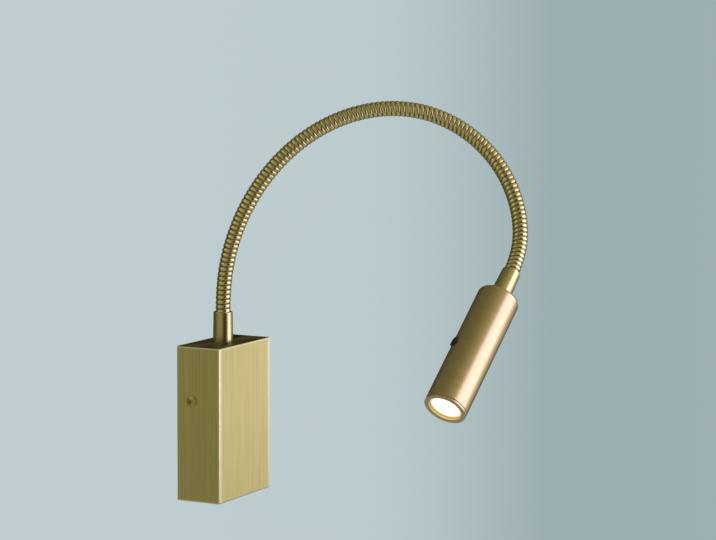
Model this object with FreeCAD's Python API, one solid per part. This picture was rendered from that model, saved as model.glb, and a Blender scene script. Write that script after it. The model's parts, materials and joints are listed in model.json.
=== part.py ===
import FreeCAD, Part
import math
import os

from FreeCAD import Placement, Rotation, Vector

# A bedside wall reading lamp: a brass box on the wall, a long flexible neck and a slim spot head.
# Millimetres. The origin is the middle of the face that lies on the wall. X runs to the right along
# the wall, Y runs into the wall, and Z runs up, so the whole lamp is at Y below zero.

# ---------------------------------------------------------------------------------------------
# Driving sizes
# ---------------------------------------------------------------------------------------------

# Clearances
FACE_GAP = 0.05           # between two faces that seat on each other with room for a finish
SHAFT_GAP = 0.05          # round a shank, stem or spigot in its bore
SCREW_GAP = 0.2           # round a screw in a plain hole
LEAD_GAP = 0.3            # round a wire in its hole, and between a wire and the board under it
FIT_GAP = 0.5             # between the bracket and the cover that slides over it

# Cover of the wall box
COVER_WIDTH = 66.0
COVER_HEIGHT = 100.0
COVER_DEPTH = 31.0
COVER_WALL = 1.5
COVER_EDGE = 1.0          # radius of the outer edges

# Wall bracket
BRACKET_SHEET = 1.5
BRACKET_BEND = 1.2        # outer radius of the two bends
EAR_HEIGHT = 14.0
EAR_DEPTH = 17.0          # from the wall to the ear's free edge
SLOT_WIDTH = 4.5
SLOT_LENGTH = 9.0
SLOT_INSET = 10.0         # from the plate's upper or lower edge to the middle of a slot

# Screws that hold the cover, one on each side
COVER_SCREW_RADIUS = 2.0
COVER_SCREW_LENGTH = 6.0
COVER_SCREW_HEAD_RADIUS = 3.75
COVER_SCREW_HEAD_HEIGHT = 1.5
COVER_SCREW_SOCKET = 2.5  # across the flats of its hexagon socket
COVER_SCREW_UP = 15.0     # above the middle of the box
COVER_SCREW_OUT = 11.0    # from the wall

# Flexible neck
NECK_RADIUS = 4.9
NECK_RIB_HEIGHT = 0.5
NECK_RIB_PITCH = 3.1
NECK_BORE = 2.2           # radius
NECK_JOINTS = 19
BALL_RADIUS = 3.8
BALL_TOP = 1.8            # the ball is cut flat this far past its centre
CUP_GAP = 0.12            # between ball and cup
CUP_LIP = 0.6             # the cup reaches this far behind the ball's centre
CUP_DEPTH = 3.1           # depth of the cup past the ball's centre
CUP_BACK = 1.0            # thickness of the cup's bottom
JOINT_REACH = 2.6         # last rib to ball centre, which leaves the joint room to bend
SPIGOT_LENGTH = 7.0       # of each neck end inside its ferrule

# Route of the neck, from the mouth of the lower ferrule: right, out from the wall, up
NECK_ROUTE = [
    (6.2, 12.6, 65.7),
    (33.0, 65.1, 123.8),
    (54.0, 113.0, 130.2),
    (66.2, 164.4, 96.2),
]
NECK_END = (35.9, 186.6, 31.9)
HEAD_DOWN = 43.8          # degrees that the head points below level
HEAD_TURN = 6.0           # degrees that the head turns from straight left towards the wall
NECK_STUB = 5.7           # mouth of the lower ferrule to the first ball centre

# Lower ferrule, its stem and what clamps it to the cover
FERRULE_OUT = 14.5        # from the wall to its axis
FERRULE_LENGTH = 19.5
FERRULE_FOOT_RADIUS = 6.5
FERRULE_MOUTH_RADIUS = 6.2
FERRULE_EDGE = 0.8
STEM_RADIUS = 4.0
STEM_LENGTH = 7.5
WASHER_RADIUS = 8.0
WASHER_THICKNESS = 0.8
NUT_WIDTH = 12.0          # across its flats
NUT_THICKNESS = 3.5

# Upper ferrule
HEAD_FERRULE_LENGTH = 20.8
HEAD_FERRULE_MOUTH_RADIUS = 5.9
HEAD_FERRULE_FOOT_RADIUS = 6.45
HEAD_FERRULE_EDGE = 0.6
HEAD_SPIGOT_RADIUS = 3.3

# Lamp head
HEAD_RADIUS = 13.3
HEAD_LENGTH = 88.4
HEAD_WALL = 1.3
HEAD_END_WALL = 2.0
HEAD_EDGE = 2.2
BEZEL_LENGTH = 1.7        # the part of the bezel that shows
BEZEL_SKIRT = 6.0         # the part that screws into the barrel
BEZEL_SKIRT_WALL = 0.8
BEZEL_EDGE = 0.35
BEZEL_OPENING = 10.5      # radius
BEZEL_SEAM = 0.3          # width of the fine groove behind the bezel
LENS_RECESS = 2.0
LENS_THICKNESS = 2.0
REFLECTOR_WALL = 0.6
REFLECTOR_LENGTH = 8.0
EMITTER_RADIUS = 4.5
EMITTER_HEIGHT = 1.0
LED_BOARD_RADIUS = 11.5
LED_BOARD_THICKNESS = 1.6
LED_SCREW_RADIUS = 1.0
LED_SCREW_HEAD_RADIUS = 1.9
LED_SCREW_HEAD_HEIGHT = 1.2
LED_SCREW_LENGTH = 6.0
LED_SCREW_OFFSET = 8.6    # from the head's axis
HEAT_SINK_GROOVE = 2.0    # depth of its cooling grooves
HEAT_SINK_GROOVES = 4

# Push switch in the side of the head
SWITCH_TURN = 38.0        # degrees round the head from its upper side towards the wall
SWITCH_FORWARD = 0.8      # in front of the middle of the head
SWITCH_BODY = 8.0         # square
SWITCH_BODY_HEIGHT = 5.5
SWITCH_BODY_TOP = 8.7     # from the head's axis
HOLDER_LENGTH = 17.4
BUTTON_RADIUS = 3.35
BUTTON_PROUD = 1.2        # above the barrel
BUTTON_DOME = 0.5
BUTTON_FLANGE = 0.6       # wider than the button
BUTTON_FLANGE_HEIGHT = 0.8
BUTTON_TRAVEL = 0.8
BUTTON_STEM_RADIUS = 1.4
BUTTON_STEM_DEPTH = 2.0   # inside the switch body at rest

# Lamp driver
DRIVER_SIDE_GAP = 3.5     # driver to the bracket's ear on each side
DRIVER_HEIGHT = 36.0
DRIVER_DEPTH = 20.0
DRIVER_WALL = 1.4
DRIVER_TOP_GAP = 10.0     # driver to the clamp above it
DRIVER_TAB = 7.5
DRIVER_TAB_THICKNESS = 2.0
DRIVER_TAB_SIDE = 14.0    # from the middle of the box
BOARD_THICKNESS = 1.6
BOARD_LIFT = 2.0
BOARD_POST_RADIUS = 1.5
BOARD_GAP = 0.4           # round the board in its case
TRANSFORMER_CORE = (14.0, 11.0, 12.0)
TRANSFORMER_COIL = 2.0    # coil bigger than the core's middle leg
CAPACITOR_SIZES = [(4.0, 12.0), (3.2, 10.5)]
CAPACITOR_INSET = 1.0     # from the board's side and lower edge
CHIP_SIZE = (6.0, 1.7, 4.0)
CHIP_GAP = 4.0            # from the transformer's core

# Terminal block
TERMINAL_POLES = 3
TERMINAL_PITCH = 8.0
TERMINAL_HEIGHT = 13.0
TERMINAL_DEPTH = 14.0
TERMINAL_DOWN = 11.0      # from the top of the bracket
TERMINAL_SCREW_RADIUS = 1.7
TERMINAL_SCREW_LENGTH = 4.0
TERMINAL_SCREW_SINK = 1.5
WIRE_HOLE_RADIUS = 1.6

# Small screws, radius of thread and of head
SMALL_SCREW_RADIUS = 1.5
SMALL_SCREW_HEAD_RADIUS = 2.75
SMALL_SCREW_HEAD_HEIGHT = 1.8
EARTH_SCREW_RADIUS = 2.0
EARTH_SCREW_HEAD_RADIUS = 3.8
EARTH_SCREW_HEAD_HEIGHT = 2.2
EARTH_SCREW_DOWN = 11.0   # from the terminal block's foot
SCREW_SLOT_WIDTH = 0.7
SCREW_SLOT_DEPTH = 0.8

# Supply entry and its clamp
GROMMET_BORE = 4.0        # radius
GROMMET_NECK_RADIUS = 6.0
GROMMET_FLANGE_RADIUS = 8.0
GROMMET_FLANGE = 1.5
GROMMET_DOWN = 14.0       # from the top of the bracket
CLAMP_HEIGHT = 8.0
CLAMP_THICKNESS = 6.5
CLAMP_CHANNEL_RADIUS = 3.2
CLAMP_SCREW_SPACING = 16.0
CLAMP_END = 3.0           # from each screw to the clamp's end
CLAMP_SIDE_GAP = 3.5      # clamp to the bracket's ear
CLAMP_DOWN = 14.0         # clamp to the bush above it

# Wires
CORE_RADIUS = 1.0         # mains cores
NECK_LEAD_RADIUS = 1.3    # two-core lead that runs up the neck
FINE_CORE_RADIUS = 0.7    # single cores in the head
FINE_CORE_OFFSET = 7.5    # from the head's axis
CORE_SPLIT = 0.75         # each fine core beside the axis where it leaves the neck lead
LUG_THICKNESS = 0.8
NECK_LEAD_END = 10.0      # from the head's rear face
NECK_LEAD_START = 12.0    # inside the driver
NECK_LEAD_RISE = 3.0      # straight out of the driver
NECK_LEAD_TURN = 4.0      # towards the middle on its way over the clamp
DRIVER_LEAD_INSET = 6.0   # from the driver's right side

# ---------------------------------------------------------------------------------------------
# Places worked out from the sizes
# ---------------------------------------------------------------------------------------------

UP = Vector(0, 0, 1)
OUT = Vector(0, -1, 0)
RIGHT = Vector(1, 0, 0)

cover_top = COVER_HEIGHT / 2
cover_side = COVER_WIDTH / 2
inner_top = cover_top - COVER_WALL
inner_side = cover_side - COVER_WALL
bracket_side = inner_side - FIT_GAP
bracket_top = inner_top - FIT_GAP
plate_front = -BRACKET_SHEET

slot_up = bracket_top - SLOT_INSET
ear_inside = bracket_side - BRACKET_SHEET
terminal_left = ear_inside - FIT_GAP
terminal_foot = bracket_top - TERMINAL_DOWN - TERMINAL_HEIGHT
earth_up = terminal_foot - EARTH_SCREW_DOWN
clamp_side = CLAMP_SCREW_SPACING / 2 + CLAMP_END
grommet_right = ear_inside - CLAMP_SIDE_GAP - clamp_side
grommet_up = bracket_top - GROMMET_DOWN
clamp_up = grommet_up - CLAMP_DOWN
driver_side = ear_inside - DRIVER_SIDE_GAP
driver_top = clamp_up - CLAMP_HEIGHT / 2 - DRIVER_TOP_GAP
driver_middle = driver_top - DRIVER_HEIGHT / 2
driver_bottom = driver_top - DRIVER_HEIGHT
driver_front = plate_front - DRIVER_DEPTH
driver_lead_side = driver_side - DRIVER_LEAD_INSET
board_back = plate_front - DRIVER_WALL - BOARD_LIFT
board_front = board_back - BOARD_THICKNESS
core_y = board_front - LEAD_GAP - CORE_RADIUS
neck_lead_y = board_front - LEAD_GAP - NECK_LEAD_RADIUS

ferrule_foot = Vector(0, -FERRULE_OUT, cover_top)
neck_mouth = ferrule_foot + UP * FERRULE_LENGTH
cup_length = CUP_DEPTH + CUP_BACK


def route_point(step):
    """A point of the neck's route from its right, out and up distances."""
    right, out, up = step
    return neck_mouth + RIGHT * right + OUT * out + UP * up


def head_direction():
    down = math.radians(HEAD_DOWN)
    turn = math.radians(HEAD_TURN)
    level = math.cos(down)
    return Vector(-level * math.cos(turn), level * math.sin(turn), -math.sin(down))


head_axis = head_direction()
head_mouth = route_point(NECK_END)
head_rear = head_mouth + head_axis * HEAD_FERRULE_LENGTH
head_inner = HEAD_RADIUS - HEAD_WALL
head_upper = (UP - head_axis * UP.dot(head_axis)).normalize()
switch_direction = Rotation(head_axis, SWITCH_TURN).multVec(head_upper)

# Distances along the head from its rear face
barrel_length = HEAD_LENGTH - BEZEL_LENGTH
lens_front = HEAD_LENGTH - LENS_RECESS
lens_back = lens_front - LENS_THICKNESS
reflector_back = lens_back - REFLECTOR_LENGTH
led_board_back = reflector_back - LED_BOARD_THICKNESS
switch_place = HEAD_LENGTH / 2 + SWITCH_FORWARD
holder_back = switch_place - HOLDER_LENGTH / 2
holder_front = holder_back + HOLDER_LENGTH
heat_sink_back = holder_front + FACE_GAP
heat_sink_length = led_board_back - heat_sink_back
skirt_back = barrel_length - BEZEL_SKIRT


def joint_centres():
    """Ball centres along the neck's route, all the same distance apart."""
    first = neck_mouth + UP * NECK_STUB
    last = head_mouth - head_axis * cup_length
    points = [first] + [route_point(step) for step in NECK_ROUTE] + [last]
    along = [0.0]
    for before, after in zip(points, points[1:]):
        along.append(along[-1] + before.distanceToPoint(after))
    spline = Part.BSplineCurve()
    spline.interpolate(Points=points, Parameters=along, InitialTangent=UP, FinalTangent=head_axis,
                       Scale=False)
    samples = spline.discretize(Number=4000)

    def walk(pitch):
        """Centres found at this pitch, and how far past the route's end they would run."""
        found = [samples[0]]
        for point in samples:
            if len(found) < NECK_JOINTS - 1 and point.distanceToPoint(found[-1]) >= pitch:
                found.append(point)
        missing = NECK_JOINTS - 1 - len(found)
        return found, missing * pitch + pitch - last.distanceToPoint(found[-1])

    low = 0.0
    high = spline.length()
    while high - low > 0.001:
        middle = (low + high) / 2
        if walk(middle)[1] > 0:
            high = middle
        else:
            low = middle
    return walk(low)[0] + [last]


# ---------------------------------------------------------------------------------------------
# Shape helpers
# ---------------------------------------------------------------------------------------------

def block(x, y, z):
    """A box between two limits on each axis."""
    return Part.makeBox(x[1] - x[0], y[1] - y[0], z[1] - z[0], Vector(x[0], y[0], z[0]))


def rod(radius, start, end):
    return Part.makeCylinder(radius, start.distanceToPoint(end), start, end - start)


def union(shapes):
    whole = shapes[0].fuse(shapes[1:]) if len(shapes) > 1 else shapes[0]
    return whole.removeSplitter()


def turned(outline):
    """A solid of revolution about Z. The outline holds (radius, height) corners; a corner that
    is a pair of such points is an arc through the first to the second."""
    first = outline[0]
    here = Vector(first[0], 0, first[1])
    edges = []
    for step in outline[1:] + [first]:
        if isinstance(step[0], tuple):
            middle = Vector(step[0][0], 0, step[0][1])
            end = Vector(step[1][0], 0, step[1][1])
            edges.append(Part.Arc(here, middle, end).toShape())
        else:
            end = Vector(step[0], 0, step[1])
            edges.append(Part.LineSegment(here, end).toShape())
        here = end
    return Part.Face(Part.Wire(edges)).revolve(Vector(0, 0, 0), UP, 360)


def aimed(shape, origin, along, side=None):
    """Moves a shape so that its Z axis points along a direction, and its X axis to a side."""
    if side is None:
        turn = Rotation(UP, along)
    else:
        turn = Rotation(side, along.cross(side), along, "ZXY")
    moved = shape.copy()
    moved.Placement = Placement(origin, turn).multiply(shape.Placement)
    return moved


def hexagon(width, bottom, top):
    corner = width / 2 / math.cos(math.radians(30))
    points = [Vector(corner * math.cos(math.radians(60 * i)), corner * math.sin(math.radians(60 * i)),
                     bottom) for i in range(7)]
    return Part.Face(Part.makePolygon(points)).extrude(UP * (top - bottom))


def tube_along(points, radius):
    """A round wire along straight runs joined by tangent arcs."""
    edges = []
    here = points[0]
    for before, corner, after in zip(points, points[1:], points[2:]):
        arriving = (corner - before).normalize()
        leaving = (after - corner).normalize()
        turn = arriving.getAngle(leaving)
        reach = 0.45 * min(before.distanceToPoint(corner), corner.distanceToPoint(after))
        bend_radius = reach / math.tan(turn / 2)
        start = corner - arriving * reach
        end = corner + leaving * reach
        inward = (leaving - arriving).normalize()
        centre_distance = bend_radius / math.cos(turn / 2)
        middle = corner + inward * (centre_distance - bend_radius)
        edges.append(Part.LineSegment(here, start).toShape())
        edges.append(Part.Arc(start, middle, end).toShape())
        here = end
    edges.append(Part.LineSegment(here, points[-1]).toShape())
    path = Part.Wire(edges)
    first_run = points[1] - points[0]
    ring = Part.Wire(Part.makeCircle(radius, points[0], first_run))
    return path.makePipeShell([ring], True, False)


def domed(radius, low, high):
    """Outline of a shallow dome from its rim at one height to its crown at another."""
    rise = high - low
    ball = (radius ** 2 + rise ** 2) / (2 * rise)
    halfway = high - ball + math.sqrt(ball ** 2 - radius ** 2 / 4)
    return [(radius, low), ((radius / 2, halfway), (0, high))]


def slotted_screw(radius, length, head_radius, head_height):
    """A screw whose head stands on Z = 0, with a slotted, slightly domed head."""
    screw = turned([(0, -length), (radius, -length), (radius, 0), (head_radius, 0)]
                   + domed(head_radius, head_height * 0.7, head_height))
    slot = block((-2 * head_radius, 2 * head_radius), (-SCREW_SLOT_WIDTH / 2, SCREW_SLOT_WIDTH / 2),
                 (head_height - SCREW_SLOT_DEPTH, 2 * head_height))
    return screw.cut(slot)


def grub_screw(radius, length):
    """A headless screw from Z = 0 up, with a slot in its upper end."""
    slot = block((-2 * radius, 2 * radius), (-SCREW_SLOT_WIDTH / 2, SCREW_SLOT_WIDTH / 2),
                 (length - SCREW_SLOT_DEPTH, 2 * length))
    return Part.makeCylinder(radius, length).cut(slot)


def save(name, shape):
    shape.exportStep("parts/" + name + ".step")


# ---------------------------------------------------------------------------------------------
# Wall box
# ---------------------------------------------------------------------------------------------

def side_screw_axis(side):
    """Where a cover screw's head stands on the cover, on the side +1 or -1."""
    return Vector(side * cover_side, -COVER_SCREW_OUT, COVER_SCREW_UP)


def base_cover():
    shell = block((-cover_side, cover_side), (-COVER_DEPTH, 0), (-cover_top, cover_top))
    rounded = [edge for edge in shell.Edges if edge.BoundBox.YMin < -FACE_GAP]
    shell = shell.makeFillet(COVER_EDGE, rounded)
    hollow = block((-inner_side, inner_side), (COVER_WALL - COVER_DEPTH, COVER_WALL),
                   (-inner_top, inner_top))
    stem_hole = rod(STEM_RADIUS + SCREW_GAP, ferrule_foot - UP * 2 * COVER_WALL, ferrule_foot + UP)
    shell = shell.cut([hollow, stem_hole])
    for side in (-1, 1):
        seat = side_screw_axis(side)
        inward = RIGHT * -side
        shell = shell.cut(rod(COVER_SCREW_RADIUS + SCREW_GAP, seat - inward, seat + inward * 2 * COVER_WALL))
    return shell


def wall_bracket():
    plate = block((-bracket_side, bracket_side), (plate_front, 0), (-bracket_top, bracket_top))
    ear_z = (COVER_SCREW_UP - EAR_HEIGHT / 2, COVER_SCREW_UP + EAR_HEIGHT / 2)
    ears = [block((bracket_side - BRACKET_SHEET, bracket_side), (-EAR_DEPTH, 0), ear_z),
            block((-bracket_side, BRACKET_SHEET - bracket_side), (-EAR_DEPTH, 0), ear_z)]
    body = union([plate] + ears)
    bends = [edge for edge in body.Edges
             if abs(edge.BoundBox.XMin) > bracket_side - FACE_GAP
             and edge.BoundBox.XLength < FACE_GAP
             and edge.BoundBox.YMin > -FACE_GAP]
    body = body.makeFillet(BRACKET_BEND, bends)
    cuts = []
    for end in (-1, 1):
        middle = end * slot_up
        straight = (SLOT_LENGTH - SLOT_WIDTH) / 2
        cuts.append(block((-SLOT_WIDTH / 2, SLOT_WIDTH / 2), (2 * plate_front, BRACKET_SHEET),
                          (middle - straight, middle + straight)))
        for z in (middle - straight, middle + straight):
            cuts.append(rod(SLOT_WIDTH / 2, Vector(0, BRACKET_SHEET, z), Vector(0, 2 * plate_front, z)))
    for side in (-1, 1):
        seat = side_screw_axis(side)
        inward = RIGHT * -side
        cuts.append(rod(COVER_SCREW_RADIUS + SHAFT_GAP, seat, seat + inward * 4 * COVER_WALL))
    holes = [(grommet_right, grommet_up, GROMMET_NECK_RADIUS + SHAFT_GAP),
             (earth_x, earth_up, EARTH_SCREW_RADIUS + SHAFT_GAP),
             (terminal_screw_x, terminal_middle, SMALL_SCREW_RADIUS + SHAFT_GAP)]
    holes += [(x, clamp_up, SMALL_SCREW_RADIUS + SHAFT_GAP) for x in clamp_screw_places]
    holes += [(x, z, SMALL_SCREW_RADIUS + SHAFT_GAP) for x, z in driver_screw_places]
    for x, z, radius in holes:
        cuts.append(rod(radius, Vector(x, BRACKET_SHEET, z), Vector(x, 2 * plate_front, z)))
    return body.cut(cuts)


def cover_screw(side):
    """Low domed screw with a hexagon socket, its head on the outside of the cover."""
    height = COVER_SCREW_HEAD_HEIGHT
    screw = turned([(0, -COVER_SCREW_LENGTH), (COVER_SCREW_RADIUS, -COVER_SCREW_LENGTH),
                    (COVER_SCREW_RADIUS, 0), (COVER_SCREW_HEAD_RADIUS, 0)]
                   + domed(COVER_SCREW_HEAD_RADIUS, height / 4, height))
    socket = hexagon(COVER_SCREW_SOCKET, height / 4, 2 * height)
    return aimed(screw.cut(socket), side_screw_axis(side), RIGHT * side)


def lower_ferrule():
    """Tapered sleeve that stands on the cover, with a hollow threaded stem below."""
    socket = NECK_RADIUS + SHAFT_GAP
    edge = FERRULE_EDGE
    arc_in = edge * (1 - math.sqrt(0.5))
    mouth = FERRULE_LENGTH
    radius = FERRULE_MOUTH_RADIUS
    return aimed(turned([
        (NECK_BORE, -STEM_LENGTH), (STEM_RADIUS, -STEM_LENGTH), (STEM_RADIUS, 0),
        (FERRULE_FOOT_RADIUS, 0), (radius, mouth - edge),
        ((radius - arc_in, mouth - arc_in), (radius - edge, mouth)),
        (socket, mouth), (socket, mouth - SPIGOT_LENGTH), (NECK_BORE, mouth - SPIGOT_LENGTH),
    ]), ferrule_foot, UP)


def ferrule_washer():
    ring = Part.makeCylinder(WASHER_RADIUS, WASHER_THICKNESS)
    ring = ring.cut(Part.makeCylinder(STEM_RADIUS + SCREW_GAP, WASHER_THICKNESS))
    return aimed(ring, ferrule_foot - UP * (COVER_WALL + WASHER_THICKNESS), UP)


def stem_nut(origin, along):
    """Thin hexagon nut whose seat is at the origin, reaching along a direction."""
    nut = hexagon(NUT_WIDTH, 0, NUT_THICKNESS)
    nut = nut.cut(Part.makeCylinder(STEM_RADIUS + SHAFT_GAP, NUT_THICKNESS))
    return aimed(nut, origin, along)


# ---------------------------------------------------------------------------------------------
# What the wall box holds
# ---------------------------------------------------------------------------------------------

terminal_width = TERMINAL_POLES * TERMINAL_PITCH
pole_places = [TERMINAL_PITCH * (i + 0.5) - terminal_left for i in range(TERMINAL_POLES)]
terminal_screw_x = (pole_places[0] + pole_places[1]) / 2
terminal_middle = terminal_foot + TERMINAL_HEIGHT / 2
earth_x = pole_places[-1]
clamp_screw_places = [grommet_right - CLAMP_SCREW_SPACING / 2, grommet_right + CLAMP_SCREW_SPACING / 2]
driver_screw_places = [(DRIVER_TAB_SIDE, driver_top + DRIVER_TAB / 2),
                       (-DRIVER_TAB_SIDE, driver_bottom - DRIVER_TAB / 2)]
lid_back = driver_front + DRIVER_WALL


def plate_screw(x, z, stack, radius=SMALL_SCREW_RADIUS, head_radius=SMALL_SCREW_HEAD_RADIUS,
                head_height=SMALL_SCREW_HEAD_HEIGHT):
    """A screw that clamps something of a given thickness to the bracket."""
    screw = slotted_screw(radius, stack + BRACKET_SHEET, head_radius, head_height)
    return aimed(screw, Vector(x, plate_front - stack, z), OUT)


def terminal_block():
    left = -terminal_left
    z = (terminal_foot, terminal_foot + TERMINAL_HEIGHT)
    front = plate_front - TERMINAL_DEPTH
    body = block((left, left + terminal_width), (front, plate_front), z)
    cuts = []
    for x in pole_places:
        cuts.append(rod(WIRE_HOLE_RADIUS, Vector(x, core_y, z[0] - 1), Vector(x, core_y, z[1] + 1)))
        cuts.append(rod(TERMINAL_SCREW_RADIUS + SHAFT_GAP, Vector(x, front - 1, terminal_middle),
                        Vector(x, core_y, terminal_middle)))
    cuts.append(rod(SMALL_SCREW_RADIUS + SCREW_GAP, Vector(terminal_screw_x, front - 1, terminal_middle),
                    Vector(terminal_screw_x, 0, terminal_middle)))
    cuts.append(rod(SMALL_SCREW_HEAD_RADIUS, Vector(terminal_screw_x, front - 1, terminal_middle),
                    Vector(terminal_screw_x, terminal_seat, terminal_middle)))
    grooves = [block((x - 0.4, x + 0.4), (front, front + 2), z)
               for x in [(a + b) / 2 for a, b in zip(pole_places[1:], pole_places[2:])]]
    return body.cut(cuts + grooves)


terminal_seat = plate_front - TERMINAL_DEPTH + SMALL_SCREW_HEAD_HEIGHT + SCREW_GAP


def terminal_screws():
    tip = core_y - WIRE_HOLE_RADIUS
    shape = grub_screw(TERMINAL_SCREW_RADIUS, TERMINAL_SCREW_LENGTH)
    return Part.makeCompound([aimed(shape, Vector(x, tip, terminal_middle), OUT) for x in pole_places])


def driver_case():
    """Tray with two screw tabs and posts for its board, open towards the room."""
    outer = block((-driver_side, driver_side), (lid_back + FACE_GAP, plate_front),
                  (driver_bottom, driver_top))
    wall = DRIVER_WALL
    hollow = block((wall - driver_side, driver_side - wall), (driver_front, plate_front - wall),
                   (driver_bottom + wall, driver_top - wall))
    tray = outer.cut(hollow)
    pieces = [tray]
    for (x, z), side in zip(driver_screw_places, (1, -1)):
        reach = sorted((z - side * (DRIVER_TAB / 2 + wall / 2), z + side * DRIVER_TAB / 2))
        tab = block((x - DRIVER_TAB / 2, x + DRIVER_TAB / 2),
                    (plate_front - DRIVER_TAB_THICKNESS, plate_front), reach)
        pieces.append(tab)
    for x, z in board_post_places():
        pieces.append(rod(BOARD_POST_RADIUS, Vector(x, plate_front - wall / 2, z), Vector(x, board_back, z)))
    case = union(pieces)
    for x, z in driver_screw_places:
        case = case.cut(rod(SMALL_SCREW_RADIUS + SCREW_GAP, Vector(x, 0, z), Vector(x, driver_front, z)))
    wire_holes = [(x, core_y, CORE_RADIUS + LEAD_GAP) for x in driver_core_places]
    wire_holes.append((driver_lead_side, neck_lead_y, NECK_LEAD_RADIUS + LEAD_GAP))
    for x, y, radius in wire_holes:
        case = case.cut(rod(radius, Vector(x, y, driver_top - 2 * wall), Vector(x, y, driver_top + wall)))
    return case


driver_core_places = [pole_places[0] + TERMINAL_PITCH / 2, pole_places[1] + TERMINAL_PITCH * 3 / 8]
board_side = driver_side - DRIVER_WALL - BOARD_GAP
board_top = driver_top - DRIVER_WALL - BOARD_GAP
board_bottom = driver_bottom + DRIVER_WALL + BOARD_GAP
transformer_x = board_side / 3


def board_post_places():
    inset = 2 * BOARD_POST_RADIUS
    return [(x, z) for x in (inset - board_side, board_side - inset)
            for z in (board_bottom + inset, board_top - inset)]


def driver_lid():
    lid = block((-driver_side, driver_side), (driver_front, lid_back), (driver_bottom, driver_top))
    edges = [edge for edge in lid.Edges if edge.BoundBox.YMax < lid_back - FACE_GAP]
    return lid.makeFillet(DRIVER_WALL / 3, edges)


def driver_board():
    return block((-board_side, board_side), (board_front, board_back), (board_bottom, board_top))


def driver_transformer():
    """Two-legged core with a wound coil round its middle."""
    width, depth, height = TRANSFORMER_CORE
    x = transformer_x
    z = driver_middle
    core = block((x - width / 2, x + width / 2), (board_front - depth, board_front),
                 (z - height / 2, z + height / 2))
    coil = block((x - width / 3, x + width / 3), (board_front - depth - TRANSFORMER_COIL, board_front),
                 (z - height / 2 - TRANSFORMER_COIL, z + height / 2 + TRANSFORMER_COIL))
    uprights = [edge for edge in coil.Edges if edge.BoundBox.ZLength < FACE_GAP
                and edge.BoundBox.YLength < FACE_GAP and edge.BoundBox.YMax < board_front - depth]
    return union([core, coil.makeFillet(TRANSFORMER_COIL / 2, uprights)])


def driver_capacitors():
    cans = []
    for (radius, height), side in zip(CAPACITOR_SIZES, (-1, 1)):
        x = side * (board_side - CAPACITOR_INSET - radius)
        z = board_bottom + CAPACITOR_INSET + radius
        can = Part.makeCylinder(radius, height)
        can = can.makeFillet(radius / 6, [edge for edge in can.Edges if edge.BoundBox.ZMin > height / 2])
        cans.append(aimed(can, Vector(x, board_front, z), OUT))
    return Part.makeCompound(cans)


def driver_chips():
    width, depth, height = CHIP_SIZE
    right = transformer_x - TRANSFORMER_CORE[0] / 2 - CHIP_GAP
    chips = []
    for level in (-1, 1):
        z = driver_middle + level * height * 2 - height / 2
        chip = block((right - width, right), (board_front - depth, board_front), (z, z + height))
        rims = [edge for edge in chip.Edges if edge.BoundBox.YMax < board_front - depth / 2]
        chips.append(chip.makeChamfer(depth / 5, rims))
    return Part.makeCompound(chips)


def mains_core(pole_x, driver_x):
    """A mains core from the terminal block down into the driver."""
    top = terminal_middle - TERMINAL_SCREW_RADIUS
    gap = terminal_foot - driver_top
    points = [Vector(pole_x, core_y, top), Vector(pole_x, core_y, terminal_foot - gap / 4),
              Vector(driver_x, core_y, driver_top + gap / 4), Vector(driver_x, core_y, driver_top - gap / 3)]
    return tube_along(points, CORE_RADIUS)


def earth_lead():
    """Earth core with its crimped ring lug under the earth screw."""
    lug_back = plate_front
    lug_y = (lug_back - LUG_THICKNESS, lug_back)
    ring = rod(EARTH_SCREW_HEAD_RADIUS, Vector(earth_x, lug_y[0], earth_up),
               Vector(earth_x, lug_y[1], earth_up))
    tail_end = earth_up + EARTH_SCREW_HEAD_RADIUS + 2 * CORE_RADIUS
    tail = block((earth_x - CORE_RADIUS, earth_x + CORE_RADIUS), lug_y, (earth_up, tail_end))
    hole = rod(EARTH_SCREW_RADIUS + SHAFT_GAP, Vector(earth_x, 0, earth_up),
               Vector(earth_x, 2 * lug_y[0], earth_up))
    low_y = lug_back - LUG_THICKNESS / 2 - CORE_RADIUS
    points = [Vector(earth_x, low_y, earth_up + EARTH_SCREW_HEAD_RADIUS + CORE_RADIUS / 2),
              Vector(earth_x, low_y, tail_end - CORE_RADIUS / 2),
              Vector(earth_x, core_y, terminal_foot - CORE_RADIUS),
              Vector(earth_x, core_y, terminal_middle - TERMINAL_SCREW_RADIUS)]
    return union([ring, tail, tube_along(points, CORE_RADIUS)]).cut(hole)


def supply_grommet():
    bush = turned([
        (GROMMET_BORE, 0), (GROMMET_NECK_RADIUS, 0), (GROMMET_NECK_RADIUS, BRACKET_SHEET),
        (GROMMET_FLANGE_RADIUS, BRACKET_SHEET), (GROMMET_FLANGE_RADIUS, BRACKET_SHEET + GROMMET_FLANGE),
        (GROMMET_BORE, BRACKET_SHEET + GROMMET_FLANGE),
    ])
    return aimed(bush, Vector(grommet_right, 0, grommet_up), OUT)


def cord_clamp():
    x = (grommet_right - clamp_side, grommet_right + clamp_side)
    z = (clamp_up - CLAMP_HEIGHT / 2, clamp_up + CLAMP_HEIGHT / 2)
    front = plate_front - CLAMP_THICKNESS
    bar = block(x, (front, plate_front), z)
    rims = [edge for edge in bar.Edges if edge.BoundBox.YMax < front + FACE_GAP]
    bar = bar.makeFillet(CLAMP_THICKNESS / 6, rims)
    cuts = [rod(CLAMP_CHANNEL_RADIUS, Vector(grommet_right, plate_front, z[0] - 1),
                Vector(grommet_right, plate_front, z[1] + 1))]
    for screw_x in clamp_screw_places:
        cuts.append(rod(SMALL_SCREW_RADIUS + SCREW_GAP, Vector(screw_x, 0, clamp_up),
                        Vector(screw_x, 2 * front, clamp_up)))
    return bar.cut(cuts)


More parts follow.
